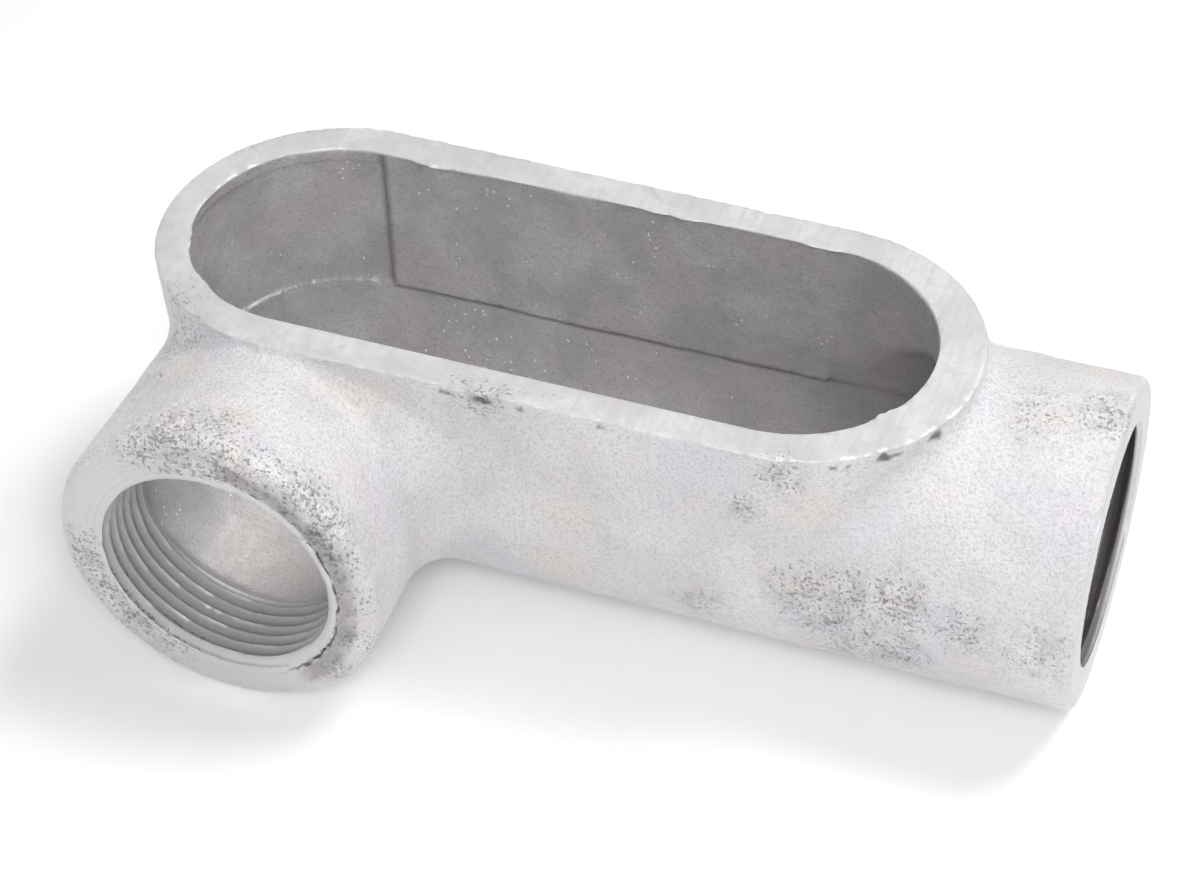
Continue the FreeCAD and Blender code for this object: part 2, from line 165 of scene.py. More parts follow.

# Places worn, pitted or dirty, mm: centre (u, v, w), reach, strength; the last two are painted shade on the
# side hub's left side
PITTED_AND_SHADED = [
    ((-10.0, -51.5, -5.5), 3.5, 0.9),
    ((-4.0, -51.5, -3.5), 5.0, 1.0),
    ((3.0, -51.5, -5.0), 4.5, 0.9),
    ((9.0, -51.0, -5.5), 4.0, 0.6),
    ((16.8, -51.0, -8.5), 3.5, 1.0),
    ((18.7, -51.0, -14.0), 3.5, 1.0),
    ((20.8, -51.0, -19.5), 3.0, 1.0),
    ((24.3, -50.8, -27.3), 2.6, 0.8),
    ((24.0, -50.8, -36.5), 2.6, 0.8),
    ((19.5, -51.0, -45.0), 2.6, 0.8),
    ((-23.0, -51.5, -31.0), 3.5, 0.8),
    ((-20.8, -51.5, -37.5), 4.0, 1.0),
    ((-16.5, -51.5, -43.0), 4.0, 1.0),
    ((-10.0, -51.5, -47.5), 3.5, 0.8),
    ((1.5, -47.0, -1.4), 3.0, 0.7),
    ((37.0, -28.7, -1.6), 3.0, 0.8),
    ((85.0, -28.0, -3.5), 3.0, 0.8),
    ((79.5, -27.8, -12.0), 2.0, 0.9),
    ((89.5, -27.1, -28.0), 4.5, 0.9),
    ((97.5, -27.1, -27.5), 5.0, 0.8),
    ((104.0, -27.0, -26.0), 4.5, 0.9),
    ((93.0, -26.9, -33.0), 4.5, 0.9),
    ((104.0, -25.9, -37.5), 4.5, 0.9),
    ((97.0, -24.5, -41.0), 4.5, 0.8),
    ((114.5, -27.2, -28.0), 3.5, 0.8),
    ((127.0, -26.8, -29.0), 4.5, 0.6),
    ((119.0, -3.0, -1.9), 5.0, 0.4),
    ((129.0, 0.0, -1.9), 3.5, 0.8),
    ((72.0, -26.0, -36.5), 3.5, 0.7),
    ((98.5, -27.5, -6.5), 3.0, 0.5),
    # Painted shade: these last two darken the side hub's left side, which faces away from the lamps.
    ((-17.0, -25.0, -4.0), 6.0, 0.55),
    ((-18.5, -36.0, -8.0), 6.0, 0.4),
]

# Burrs on the rim's inner edge, mm: centre (u, v), half length, how far they stand in
BURRS = [
    ((8.5, 22.65), 3.0, 0.75),
    ((14.0, 22.65), 2.0, 0.4),
    ((48.0, 22.65), 1.8, 0.5),
    ((53.5, 22.65), 2.2, 0.7),
    ((76.5, 22.65), 3.0, 0.7),
    ((97.5, -13.5), 2.0, 1.0),
    ((-21.0, -8.0), 2.5, 0.6),
    ((-14.5, -17.5), 2.5, 0.5),
]

# Chips along the rim's outer edge, mm: centre (u, v), half length, depth
CHIPS = [
    ((31.5, -29.1), 1.6, 0.5),
    ((37.3, -29.0), 2.6, 0.5),
    ((44.0, -28.9), 1.3, 0.4),
    ((57.0, -28.8), 1.5, 0.4),
    ((66.0, 28.7), 1.3, 0.8),
    ((86.0, -28.0), 2.4, 0.5),
    ((94.0, -25.5), 2.0, 0.6),
    ((100.5, -21.0), 2.4, 0.7),
    ((105.5, -14.0), 1.8, 0.5),
    ((-18.0, -23.0), 2.0, 0.4),
]

# Spot face round the side bore, mm: it runs out of true, so its edge shows on one side only, as a crack
SPOT_R = 22.0
SPOT_SHIFT = 0.8
SPOT_DEPTH = 0.45
CRACK_DEPTH = 0.45
CRACK_WIDTH = 0.28


# ---------------------------------------------------------------- shape helpers

def clamp01(t):
    return np.clip(t, 0.0, 1.0)


def smooth(t):
    t = clamp01(t)
    return t * t * (3.0 - 2.0 * t)


def round_or(a, b, r):
    """Union of two distances with a fillet of radius r in the crease."""
    r = np.maximum(r, 1e-4)
    return np.maximum(r, np.minimum(a, b)) - np.hypot(np.maximum(r - a, 0.0), np.maximum(r - b, 0.0))


def round_and(a, b, r):
    """Intersection of two distances with a round of radius r on the edge."""
    return np.minimum(-r, np.maximum(a, b)) + np.hypot(np.maximum(r + a, 0.0), np.maximum(r + b, 0.0))


class Noise:
    """Smooth random field on a lattice that repeats, the same on every run; cell in mm."""

    SIZE = 32
    OFFSET = 400.0

    def __init__(self, seed, cell):
        rng = np.random.default_rng(seed)
        self.cell = cell
        self.values = rng.uniform(-1.0, 1.0, (self.SIZE,) * 3).astype(np.float32)

    def __call__(self, u, v, w):
        cells, shares = [], []
        for c in (u, v, w):
            c = c / self.cell + self.OFFSET
            base = np.floor(c)
            share = (c - base).astype(np.float32)
            cells.append(base.astype(np.int32))
            shares.append(share * share * (3.0 - 2.0 * share))
        total = 0.0
        for step in itertools.product((0, 1), repeat=3):
            value = self.values[tuple((cell + d) % self.SIZE for cell, d in zip(cells, step))]
            for share, d in zip(shares, step):
                value = value * (share if d else 1.0 - share)
            total = total + value
        return total


WAVES = Noise(3, 11.0)
LUMPS = Noise(5, 4.2)
GRAIN = Noise(7, 1.5)
RAGGED = Noise(11, 0.9)
HOLES = Noise(13, 1.25)


# ---------------------------------------------------------------- the casting

def outer_form(u, v, w):
    """Distance to the casting's outside, before the rim is ground flat."""
    h = w + HUB_DEPTH
    up = clamp01(h / HUB_DEPTH)
    along = clamp01(u / RIM_SPAN)
    left_r = BARREL_R + (RIM_LEFT_R - BARREL_R) * up
    right_r = BARREL_R + (RIM_RIGHT_R - BARREL_R) * up
    walls = np.hypot(u - along * RIM_SPAN, v) - (left_r + (right_r - left_r) * along)
    walls = round_and(walls, u - RIM_TIP, TIP_ROUND)
    walls = np.maximum(walls, -h)
    radial = np.hypot(v, h)
    barrel = np.where(u < 0.0, np.sqrt(u * u + v * v + h * h), radial) - BARREL_R
    barrel = round_and(barrel, u - BARREL_REACH, BARREL_EDGE)
    emerging = smooth((u - EMERGING[0]) / EMERGING[1])
    body = round_or(walls, barrel, TOP_BLEND * emerging)

    hub_radial = np.hypot(u, h)
    cone = SIDE_ROOT_R + (SIDE_HUB_R - SIDE_ROOT_R) * clamp01(-v / SIDE_REACH)
    hub = round_and(hub_radial - cone, -v - SIDE_REACH, SIDE_EDGE)
    hub = np.maximum(hub, v)
    # The blend closes where the hub runs along the body, since there is no crease to fill there.
    below, left = np.minimum(h, 0.0), np.minimum(u, 0.0)
    reach = np.sqrt(left * left + v * v + below * below) * hub_radial
    parallel = clamp01((left * left + below * below) / np.maximum(reach, 1.0))
    near_rim = smooth((h - NEAR_RIM[0]) / NEAR_RIM[1])
    blend = np.where(u > 0.0, HUB_BLEND, LEFT_BLEND) * (1.0 - parallel) * (1.0 - NEAR_RIM[2] * near_rim)
    return round_or(body, hub, blend)


def thread_radius(along, angle):
    """Radius of the right-handed thread's surface; along runs inwards from the hub's face."""
    phase = along / PITCH + angle / (2.0 * math.pi)
    saw = np.abs((phase - np.floor(phase)) * 2.0 - 1.0)
    groove = clamp01((saw - CREST_FLAT) / (1.0 - CREST_FLAT))
    fade = smooth((THREAD_LENGTH + THREAD_END[0] - along) / THREAD_END[1])
    fade = fade * smooth((along + THREAD_START[0]) / THREAD_START[1])
    return CREST_R + (THREAD_LENGTH / 2 - along) * THREAD_TAPER + THREAD_DEPTH * groove * fade


def hub_bore(radial, angle, along, inner_r, inner_end):
    """Distance to a hub's bore: mouth, thread, shoulder and passage. along runs inwards from the face."""
    bore = thread_radius(along, angle)
    bore = np.maximum(bore, CREST_R + MOUTH - along)
    cone = CREST_R + (inner_r - CREST_R) * clamp01((along - THREAD_LENGTH) / SHOULDER)
    wall = np.where(along < THREAD_LENGTH, bore, cone)
    return np.maximum((radial - wall) * BORE_SLOPE, along - inner_end)


def hollow(u, v, w):
    """Distance to the hollow, negative inside it."""
    h = w + HUB_DEPTH
    left, right = -OPENING_SHIFT, OPENING_SPAN - OPENING_SHIFT
    plan = np.hypot(u - np.clip(u, left, right), v)
    radial = np.hypot(v, h)
    opening = np.maximum(plan - OPENING_R, -h - OVERLAP)
    pocket = np.maximum(plan - POCKET_R, np.maximum(w + LIP, -h - 0.1))
    pocket = np.maximum(pocket, u - left)
    trough = np.where(u < left, np.sqrt((u - left) ** 2 + radial ** 2), radial) - TROUGH_R
    trough = np.maximum(trough, np.maximum(h, u - right - OVERRUN))
    straight = hub_bore(radial, np.arctan2(h, v), BARREL_REACH - u, TROUGH_R, BARREL_REACH - right)
    side = hub_bore(np.hypot(u, h), np.arctan2(h, u), SIDE_REACH + v, SIDE_PASSAGE_R, SIDE_REACH)
    room = round_or(round_or(opening, trough, HOLLOW_ROUND), pocket, HOLLOW_ROUND)
    room = round_or(room, straight, PASSAGE_ROUND)
    return round_or(room, side, PASSAGE_ROUND)


def machined(u, v, w):
    """1 where a tool has cut the metal: the ground rim, the hubs' faces and the threads."""
    h = w + HUB_DEPTH
    side_r, straight_r = np.hypot(u, h), np.hypot(v, h)
    in_side = smooth(BORE_ZONE_R - side_r) * smooth((-v - SIDE_REACH + THREAD_LENGTH + 1.0) / 1.5)
    in_straight = smooth(BORE_ZONE_R - straight_r) * smooth((u - BARREL_REACH + THREAD_LENGTH + 1.0) / 1.5)
    rim = smooth((w + FACE_FADE[0]) / FACE_FADE[1])
    face = smooth((-v - SIDE_REACH + FACE_FADE[0]) / FACE_FADE[1])
    end = smooth((u - BARREL_REACH + FACE_FADE[0]) / FACE_FADE[1])
    return np.maximum.reduce([in_side, in_straight, rim, face, end])


def pitted_and_shaded(u, v, w):
    """How pitted the surface is at each place, 0 to 1, with painted shade on the side hub's left side."""
    total = np.zeros(np.shape(u), np.float32)
    for (cu, cv, cw), reach, strength in PITTED_AND_SHADED:
        away = ((u - cu) ** 2 + (v - cv) ** 2 + (w - cw) ** 2) / reach ** 2
        total = np.maximum(total, strength * np.exp(-0.5 * away))
    return total


def holes(u, v, w):
    """Share of the full depth of a pit at each place, 0 to 1."""
    worn_and_shaded = pitted_and_shaded(u, v, w)
    return smooth((HOLES(u, v, w) + 0.45 * worn_and_shaded - PITS_FROM) / 0.22) * smooth(worn_and_shaded / 0.3)


def along_rim(marks, u, v):
    """Bumps set along the rim, each a smooth hill of its own length and height; the higher one counts."""
    total = np.zeros(np.shape(u), np.float32)
    for (cu, cv), half, height in marks:
        away = np.hypot(u - cu, v - cv) / half
        total = np.maximum(total, height * np.exp(-away ** 2))
    return total


def spot_edge(u, v, w):
    """Distance outwards from the edge of the side bore's spot face, and how far the edge shows there."""
    h = w + HUB_DEPTH
    beyond = np.hypot(u + SPOT_SHIFT, h + 0.3) - SPOT_R
    shows = smooth((u + 0.25 * h - 3.0) / 9.0) * smooth((-v - SIDE_REACH + 4.0) / 1.0)
    return beyond, shows


def spot_face(u, v, w):
    """Depth cut by the spot face and by the crack at its edge."""
    beyond, shows = spot_edge(u, v, w)
    inside = smooth(0.5 - beyond / 0.5)
    crack = np.exp(-(beyond / CRACK_WIDTH) ** 2)
    return shows * (SPOT_DEPTH * inside + CRACK_DEPTH * crack)


def casting(u, v, w):
    """Distance to the casting's surface, negative in the metal."""
    cut = machined(u, v, w)
    rough = WAVE_HEIGHT * WAVES(u, v, w) + LUMP_HEIGHT * LUMPS(u, v, w) + GRAIN_HEIGHT * GRAIN(u, v, w)
    skin = rough * (1.0 - cut)
    ragged = RAGGED(u, v, w)
    outside = outer_form(u, v, w) + SKIN_ROOM + skin + PIT_DEPTH * holes(u, v, w) + spot_face(u, v, w)
    chips = CHIP_SHARE * along_rim(CHIPS, u, v) * smooth((w + CHIP_FADE[0]) / CHIP_FADE[1])
    outside = outside + chips * (0.7 + 0.6 * ragged)
    outside = round_and(outside, w, RIM_BREAK * (1.0 + 0.6 * ragged))
    burr = along_rim(BURRS, u, v) * smooth((w + BURR_FADE[0]) / BURR_FADE[1]) * (0.8 + 0.4 * ragged)
    return round_and(outside, -hollow(u, v, w) - skin - burr, LIP_ROUND)


def surface_marks(u, v, w):
    """What each point of the surface is: cut by a tool, inside the hollow, dirty or worn, or painted as shade
    in the straight hub's bore and on the side hub's left side. Also its radius on a turned end, how far it
    lies beyond the spot face's edge, and how strongly that edge shows."""
    h = w + HUB_DEPTH
    cut = machined(u, v, w)
    beyond, shows = spot_edge(u, v, w)
    depth = -outer_form(u, v, w)
    inside = smooth((depth - HOLLOW_FADE[0]) / HOLLOW_FADE[1])
    rough_band = BAND_DIRT * shows * smooth(beyond / 0.5) * smooth((4.6 - beyond) / 2.0)
    crevice = CREVICE_LEVEL + 0.5 * RAGGED(u, v, w)
    chips = CHIP_DIRT * smooth(along_rim(CHIPS, u, v) / 0.5) * np.exp(-((w - crevice) / CREVICE_HEIGHT) ** 2)
    chips = chips * smooth(0.8 + 1.2 * HOLES(u, v, w))
    # Painted shade: the whole straight hub's bore is darkened, as the shade in it.
    in_end = smooth((BARREL_REACH - 0.4 - u) / 0.8) * smooth((22.3 - np.hypot(v, h)) / 0.5) * (u > 110.0)
    dirt_and_shade = np.maximum.reduce([rough_band, chips, END_SHADE * in_end])
    in_bore = smooth((20.8 - np.hypot(u, h)) / 0.6) * smooth((-30.0 - v) / 2.0)
    worn_and_shaded = pitted_and_shaded(u, v, w) * (1.0 - in_bore)
    near_side = v < -SIDE_REACH + THREAD_LENGTH + 2.0
    near_end = u > BARREL_REACH - THREAD_LENGTH - 2.0
    turned = np.where(near_side, np.hypot(u, h), np.where(near_end, np.hypot(v, h), 0.0))
    return {"cut": cut, "inside": inside, "dirt_and_shade": clamp01(dirt_and_shade), "worn_and_shaded": worn_and_shaded, "turned": turned,
            "beyond": beyond, "shows": shows}


# ---------------------------------------------------------------- polygonising

def spaced(lo, hi, zones, coarse):
    """Grid lines from lo to hi: finer in each zone (start, end, spacing)."""
    lines = [lo]
    while lines[-1] < hi:
        here = lines[-1]
        step = coarse
        for start, end, fine in zones:
            if start <= here < end:
                step = fine
            elif here < start < here + coarse:
                step = max(start - here, fine)
        lines.append(here + step)
    return np.array(lines)


def field_on_grid(us, vs, ws):
    """The casting's distance at each grid point, one slab of u at a time."""
    field = np.empty((len(us), len(vs), len(ws)), np.float32)
    v, w = np.meshgrid(vs, ws, indexing="ij")
    for first in range(0, len(us), SLAB):
        u = us[first:first + SLAB][:, None, None]
        shape = (u.shape[0],) + v.shape
        args = [np.broadcast_to(a, shape).ravel().astype(np.float32) for a in (u, v[None], w[None])]
        field[first:first + SLAB] = casting(*args).reshape(shape)
    field[np.abs(field) < 1e-5] = 1e-5
    part_sheets(field)
    return field


def part_sheets(field):
    """Flips the weakest corner of grid faces whose corners alternate in sign, where two sheets would share an
    edge. A flip can bring up another such face, so it goes round a few times; a few may be left at the end."""
    for _ in range(SHEET_ROUNDS):
        found = 0
        for axis in range(3):
            a, b = [d for d in range(3) if d != axis]
            steps = []
            for da, db in ((0, 0), (1, 0), (1, 1), (0, 1)):
                step = [0, 0, 0]
                step[a], step[b] = da, db
                steps.append(step)
            shape = [n - (d != axis) for d, n in enumerate(field.shape)]
            signs = [field[tuple(slice(o, o + n) for o, n in zip(step, shape))] < 0 for step in steps]
            mixed = (signs[0] != signs[1]) & (signs[1] != signs[2]) & (signs[2] != signs[3])
            for place in np.argwhere(mixed):
                corners = [tuple(place + step) for step in steps]
                weakest = min(corners, key=lambda corner: abs(field[corner]))
                field[weakest] = -1e-4 if field[weakest] > 0 else 1e-4
                found += 1
        if not found:
            return


def crossings(field, axis, lines):
    """Grid edges along an axis that the surface crosses: their cells, points and directions."""
    low = [slice(None)] * 3
    high = [slice(None)] * 3
    low[axis], high[axis] = slice(None, -1), slice(1, None)
    a, b = field[tuple(low)], field[tuple(high)]
    at = np.argwhere((a < 0) != (b < 0))
    fa, fb = a[tuple(at.T)], b[tuple(at.T)]
    ends = [np.array([lines[d][at[:, d]] for d in range(3)]).T for _ in (0, 1)]
    ends[1][:, axis] = lines[axis][at[:, axis] + 1]
    t0, t1 = np.zeros(len(at)), np.ones(len(at))
    f0, f1 = fa.astype(float), fb.astype(float)
    for _ in range(3):
        t = t0 + (t1 - t0) * clamp01(f0 / (f0 - f1))
        point = ends[0] + (ends[1] - ends[0]) * t[:, None]
        f = casting(*point.T)
        same = (f < 0) == (f0 < 0)
        t0, f0 = np.where(same, t, t0), np.where(same, f, f0)
        t1, f1 = np.where(same, t1, t), np.where(same, f1, f)
    t = t0 + (t1 - t0) * clamp01(f0 / (f0 - f1))
    return at, ends[0] + (ends[1] - ends[0]) * t[:, None], fa < 0


def slopes(points, step=0.05):
    """Unit normals of the surface at the points."""
    corners = np.array([(1, -1, -1), (-1, -1, 1), (-1, 1, -1), (1, 1, 1)], float)
    total = 0.0
    for corner in corners:
        moved = points + corner * step
        total = total + corner * casting(*moved.T)[:, None]
    return total / np.maximum(np.linalg.norm(total, axis=1), 1e-9)[:, None]


def polygonise(us, vs, ws):
    """Closed quad mesh of the casting, one vertex per crossed cell, kept sharp at its edges."""
    lines = (us, vs, ws)
    field = field_on_grid(us, vs, ws)
    cells = tuple(n - 1 for n in field.shape)
    owners, points, normals, quads = [], [], [], []
    for axis in range(3):
        at, point, inside = crossings(field, axis, lines)
        normal = slopes(point)
        others = [d for d in range(3) if d != axis]
        around = []
        for da, db in ((0, 0), (1, 0), (1, 1), (0, 1)):
            cell = at.copy()
            cell[:, others[0]] -= da
            cell[:, others[1]] -= db
            flat = np.ravel_multi_index(tuple(cell.T), cells)
            around.append(flat)
            owners.append(flat)
            points.append(point)
            normals.append(normal)
        ring = np.array(around).T
        flip = ~inside if axis == 1 else inside
        quads.append(np.where(flip[:, None], ring, ring[:, ::-1]))
    # Each cell's vertex is put as near as it can be to the planes through its crossings.
    owners, points, normals = (np.concatenate(a) for a in (owners, points, normals))
    used, index = np.unique(owners, return_inverse=True)
    n = len(used)
    share = np.maximum(np.bincount(index, minlength=n), 1)
    middle = np.array([np.bincount(index, points[:, d], n) / share for d in range(3)]).T
    offset = np.einsum("ij,ij->i", normals, points - middle[index])
    ata = np.zeros((n, 3, 3))
    atb = np.zeros((n, 3))
    for i in range(3):
        atb[:, i] = np.bincount(index, normals[:, i] * offset, n)
        for j in range(3):
            ata[:, i, j] = np.bincount(index, normals[:, i] * normals[:, j], n)
    ata[:, range(3), range(3)] += CENTRE_PULL * share[:, None]
    shift = np.linalg.solve(ata, atb[:, :, None])[:, :, 0]
    corner = np.array(np.unravel_index(used, cells)).T
    low = np.array([lines[d][corner[:, d]] for d in range(3)]).T
    high = np.array([lines[d][corner[:, d] + 1] for d in range(3)]).T
    vertices = np.clip(middle + shift, low, high)
    lookup = np.full(math.prod(cells), -1, np.int64)
    lookup[used] = np.arange(n)
    return vertices, lookup[np.concatenate(quads)]


def casting_mesh(name, origin):
    """The casting as a mesh in the row's frame; origin is the layout's zero point there, in metres."""
    coarse, fine = ((COARSE, FINE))
    us = spaced(*GRID_U, [(BARREL_REACH - THREAD_ZONE, GRID_U[1], fine)], coarse)
    vs = spaced(*GRID_V, [(GRID_V[0], -SIDE_REACH + THREAD_ZONE, fine)], coarse)
    ws = spaced(*GRID_W, [(*RIM_ZONE, fine)], coarse)
    vertices, quads = polygonise(us, vs, ws)
    mesh = bpy.data.meshes.new(name)
    mesh.from_pydata((vertices * MM + np.array(origin)).tolist(), [], quads.tolist())
    mesh.update()
    return mesh


def away_from_threads(mesh, origin):
    """Numbers of the vertices that may be thinned out: all but the threads'."""
    places = np.empty(3 * len(mesh.vertices), np.float32)
    mesh.vertices.foreach_get("co", places)
    u, v, w = ((places.reshape(-1, 3) - np.array(origin)) / MM).T
    h = w + HUB_DEPTH
    depth = THREAD_LENGTH + KEPT_PAST
    side = (v < -SIDE_REACH + depth) & (np.hypot(u, h) < KEPT_R)
    straight = (u > BARREL_REACH - depth) & (np.hypot(v, h) < KEPT_R)
    return np.flatnonzero(~(side | straight)).tolist()


def build_casting(origin, low, high):
    """The casting's object, thinned out to its limit of triangles outside the threads."""
    mesh = casting_mesh("conduit_casting", origin)
    piece = bpy.data.objects.new("conduit_casting", mesh)
    bpy.context.scene.collection.objects.link(piece)
    faces = 2 * len(mesh.polygons)
    if faces > TRIANGLES:
        thin = piece.modifiers.new("thin", "DECIMATE")
        thin.ratio = TRIANGLES / faces
        plain = piece.vertex_groups.new(name="plain")
        plain.add(away_from_threads(mesh, origin), 1.0, "REPLACE")
        thin.vertex_group = plain.name
        graph = bpy.context.evaluated_depsgraph_get()
        done = bpy.data.meshes.new_from_object(piece.evaluated_get(graph))
        piece.modifiers.clear()
        piece.data = done
        done.name = "conduit_casting"
    finish_mesh(piece.data, origin, low, high)
    return piece


def finish_mesh(mesh, origin, low, high):
    """Keeps the mesh inside its box, marks its surfaces and smooths its shading."""
    places = np.empty(3 * len(mesh.vertices), np.float32)
    mesh.vertices.foreach_get("co", places)
    places = np.clip(places.reshape(-1, 3), low, high)
    mesh.vertices.foreach_set("co", places.ravel())
    u, v, w = ((places - np.array(origin)) / MM).T
    for name, values in surface_marks(u, v, w).items():
        mark = mesh.attributes.new(name, "FLOAT", "POINT")
        mark.data.foreach_set("value", values.astype(np.float32))
    mesh.polygons.foreach_set("use_smooth", [True] * len(mesh.polygons))
    mesh.set_sharp_from_angle(angle=math.radians(SHARP_FROM))


# ---------------------------------------------------------------- materials

class Graph:
    """Short hand for building a material's nodes; sizes and depths in mm."""

    def __init__(self, name):
        self.material = bpy.data.materials.new(name)
        self.material.use_nodes = True
        self.tree = self.material.node_tree
        self.bsdf = self.tree.nodes["Principled BSDF"]
        self.coords = self.node("ShaderNodeTexCoord").outputs["Object"]

    def node(self, kind, inputs=(), **settings):
        made = self.tree.nodes.new(kind)
        for key, value in settings.items():
            setattr(made, key, value)
        for name, value in dict(inputs).items():
            self.give(made.inputs[name], value)
        return made

    def give(self, socket, value):
        if isinstance(value, bpy.types.NodeSocket):
            self.tree.links.new(value, socket)
        else:
            socket.default_value = value

    def mark(self, name):
        return self.node("ShaderNodeAttribute", attribute_name=name).outputs["Fac"]

    def moved(self, scale=(1.0, 1.0, 1.0), turn=0.0, shift=(0.0, 0.0, 0.0)):
        return self.node("ShaderNodeMapping", {
            "Vector": self.coords, "Scale": scale, "Rotation": (0.0, 0.0, math.radians(turn)),
            "Location": shift}).outputs["Vector"]

    def noise(self, size_mm, detail=2.0, rough=0.5, vector=None):
        return self.node("ShaderNodeTexNoise", {
            "Vector": vector or self.coords, "Scale": 1.0 / (size_mm * MM), "Detail": detail,
            "Roughness": rough}).outputs["Fac"]

    def cells(self, size_mm):
        return self.node("ShaderNodeTexVoronoi", {
            "Vector": self.coords, "Scale": 1.0 / (size_mm * MM)}).outputs["Distance"]

    def ramp(self, value, start, end, low=0.0, high=1.0):
        return self.node("ShaderNodeMapRange", {
            "Value": value, "From Min": start, "From Max": end, "To Min": low, "To Max": high},
            interpolation_type="SMOOTHSTEP").outputs["Result"]

    def math(self, operation, a, b):
        made = self.node("ShaderNodeMath", operation=operation)
        self.give(made.inputs[0], a)
        self.give(made.inputs[1], b)
        return made.outputs["Value"]

    def times(self, *values):
        total = values[0]
        for value in values[1:]:
            total = self.math("MULTIPLY", total, value)
        return total

    def line(self, distance, full, gone, darkest):
        """A line where distance is nought: darkest up to full from it, gone further off."""
        return self.ramp(self.math("ABSOLUTE", distance, 0.0), full, gone, darkest, 0.0)

    def mix(self, factor, a, b):
        made = self.node("ShaderNodeMix", data_type="RGBA")
        for index, value in ((0, factor), (6, a), (7, b)):
            if isinstance(value, tuple) and len(value) == 3:
                value = (*value, 1.0)
            self.give(made.inputs[index], value)
        return made.outputs[2]

    def bump(self, height, depth_mm, strength, below=None):
        inputs = {"Height": height, "Distance": depth_mm * MM, "Strength": strength}
        if below is not None:
            inputs["Normal"] = below
        return self.node("ShaderNodeBump", inputs).outputs["Normal"]


def outer_skin(g, warm, grain):
    """Sand-cast skin, in patches of warmer and bluer grey."""
    lilac = g.noise(15.0, 2.0, vector=g.moved(shift=(0.11, 0.43, 0.27)))
    skin = g.mix(g.ramp(g.noise(16.0, 3.0), 0.35, 0.65), SKIN, SKIN_LIGHT)
    skin = g.mix(g.ramp(warm, 0.50, 0.72, 0.0, 0.8), skin, SKIN_WARM)
    skin = g.mix(g.ramp(lilac, 0.50, 0.72, 0.0, 0.7), skin, SKIN_LILAC)
    return g.mix(g.ramp(grain, 0.36, 0.54, 0.5, 0.0), skin, SKIN_GRAIN)


def seam_shadows(g, along, level):
    """Painted shadow: a dark line under the ledge between the hollow's wall and its trough, and in the crease
    where the left arc starts.
    """
    wander = g.ramp(g.noise(6.0, 2.0), 0.3, 0.7, -0.12 * MM, 0.12 * MM)
    ledge = g.line(g.math("ADD", level, wander), 0.0, 0.95 * MM, 0.9)
    ledge = g.times(ledge, g.ramp(along, -0.5 * MM, 0.5 * MM), g.ramp(along, 76.0 * MM, 88.0 * MM, 1.0, 0.1))
    crease = g.line(g.math("ADD", along, wander), 0.0, 1.5 * MM, 0.8)
    crease = g.times(crease, g.ramp(level, 0.0, 1.0 * MM))
    return g.times(g.math("MAXIMUM", ledge, crease), 0.75)


def shaded_hollow_skin(g, warm, grain, origin):
    """The hollow's skin with its white specks, painted darker than the outer skin as shade, with painted
    shadow lines at the ledge and the crease, and painted shade deepening towards the straight hub.
    """
    place = g.node("ShaderNodeSeparateXYZ", {"Vector": g.coords})
    along = g.math("SUBTRACT", place.outputs["X"], origin[0] - OPENING_SHIFT * MM)
    level = g.math("SUBTRACT", place.outputs["Z"], origin[2] - HUB_DEPTH * MM)
    skin = g.mix(g.ramp(g.noise(12.0, 3.0), 0.35, 0.65), HOLLOW, HOLLOW_LIGHT)
    skin = g.mix(g.ramp(warm, 0.46, 0.66, 0.0, 0.8), skin, HOLLOW_WARM)
    skin = g.mix(g.ramp(grain, 0.36, 0.50, 0.40, 0.0), skin, HOLLOW_GRAIN)
    dots = g.ramp(g.cells(1.6), 0.10, 0.18, 1.0, 0.0)
    specks = g.times(dots, g.ramp(g.noise(9.0, 2.0), 0.54, 0.60))
    skin = g.mix(specks, skin, SPECKS)
    # Painted shadow lines at the ledge and the crease.
    skin = g.mix(seam_shadows(g, along, level), skin, SEAM_SHADOW)
    # Painted shade: the hollow darkens towards the straight hub's end.
    return g.mix(g.ramp(along, 45.0 * MM, 100.0 * MM, 0.0, 0.35), skin, HOLLOW_FAR_SHADE)


def ground_metal(g, streaks):
    """The rim's ground face: mottled and stained, with faint scratches."""
    ground = g.mix(g.ramp(g.noise(9.0, 1.0), 0.35, 0.65), GROUND, GROUND_LIGHT)
    ground = g.mix(g.ramp(streaks, 0.34, 0.52, 0.22, 0.0), ground, SCRATCHES)
    ground = g.mix(g.ramp(g.noise(1.7, 5.0, 0.7), 0.36, 0.56, 0.45, 0.0), ground, MOTTLES)
    return g.mix(g.ramp(g.noise(5.0, 4.0, 0.6), 0.52, 0.66, 0.0, 0.6), ground, STAINS)


def turned_metal(g, radius, inside):
    """The hubs' faces and threads, in fine rings from the tool; the threads deep in the bores are painted
    darker as shade.
    """
    rings = g.node("ShaderNodeTexNoise", {"W": radius, "Scale": 1.6, "Detail": 2.0},
                   noise_dimensions="1D").outputs["Fac"]
    lathe = g.mix(g.ramp(rings, 0.35, 0.65), TURNED, TURNED_LIGHT)
    # Painted shade on the threads inside the bore.
    return g.mix(inside, lathe, TURNED_SHADED)


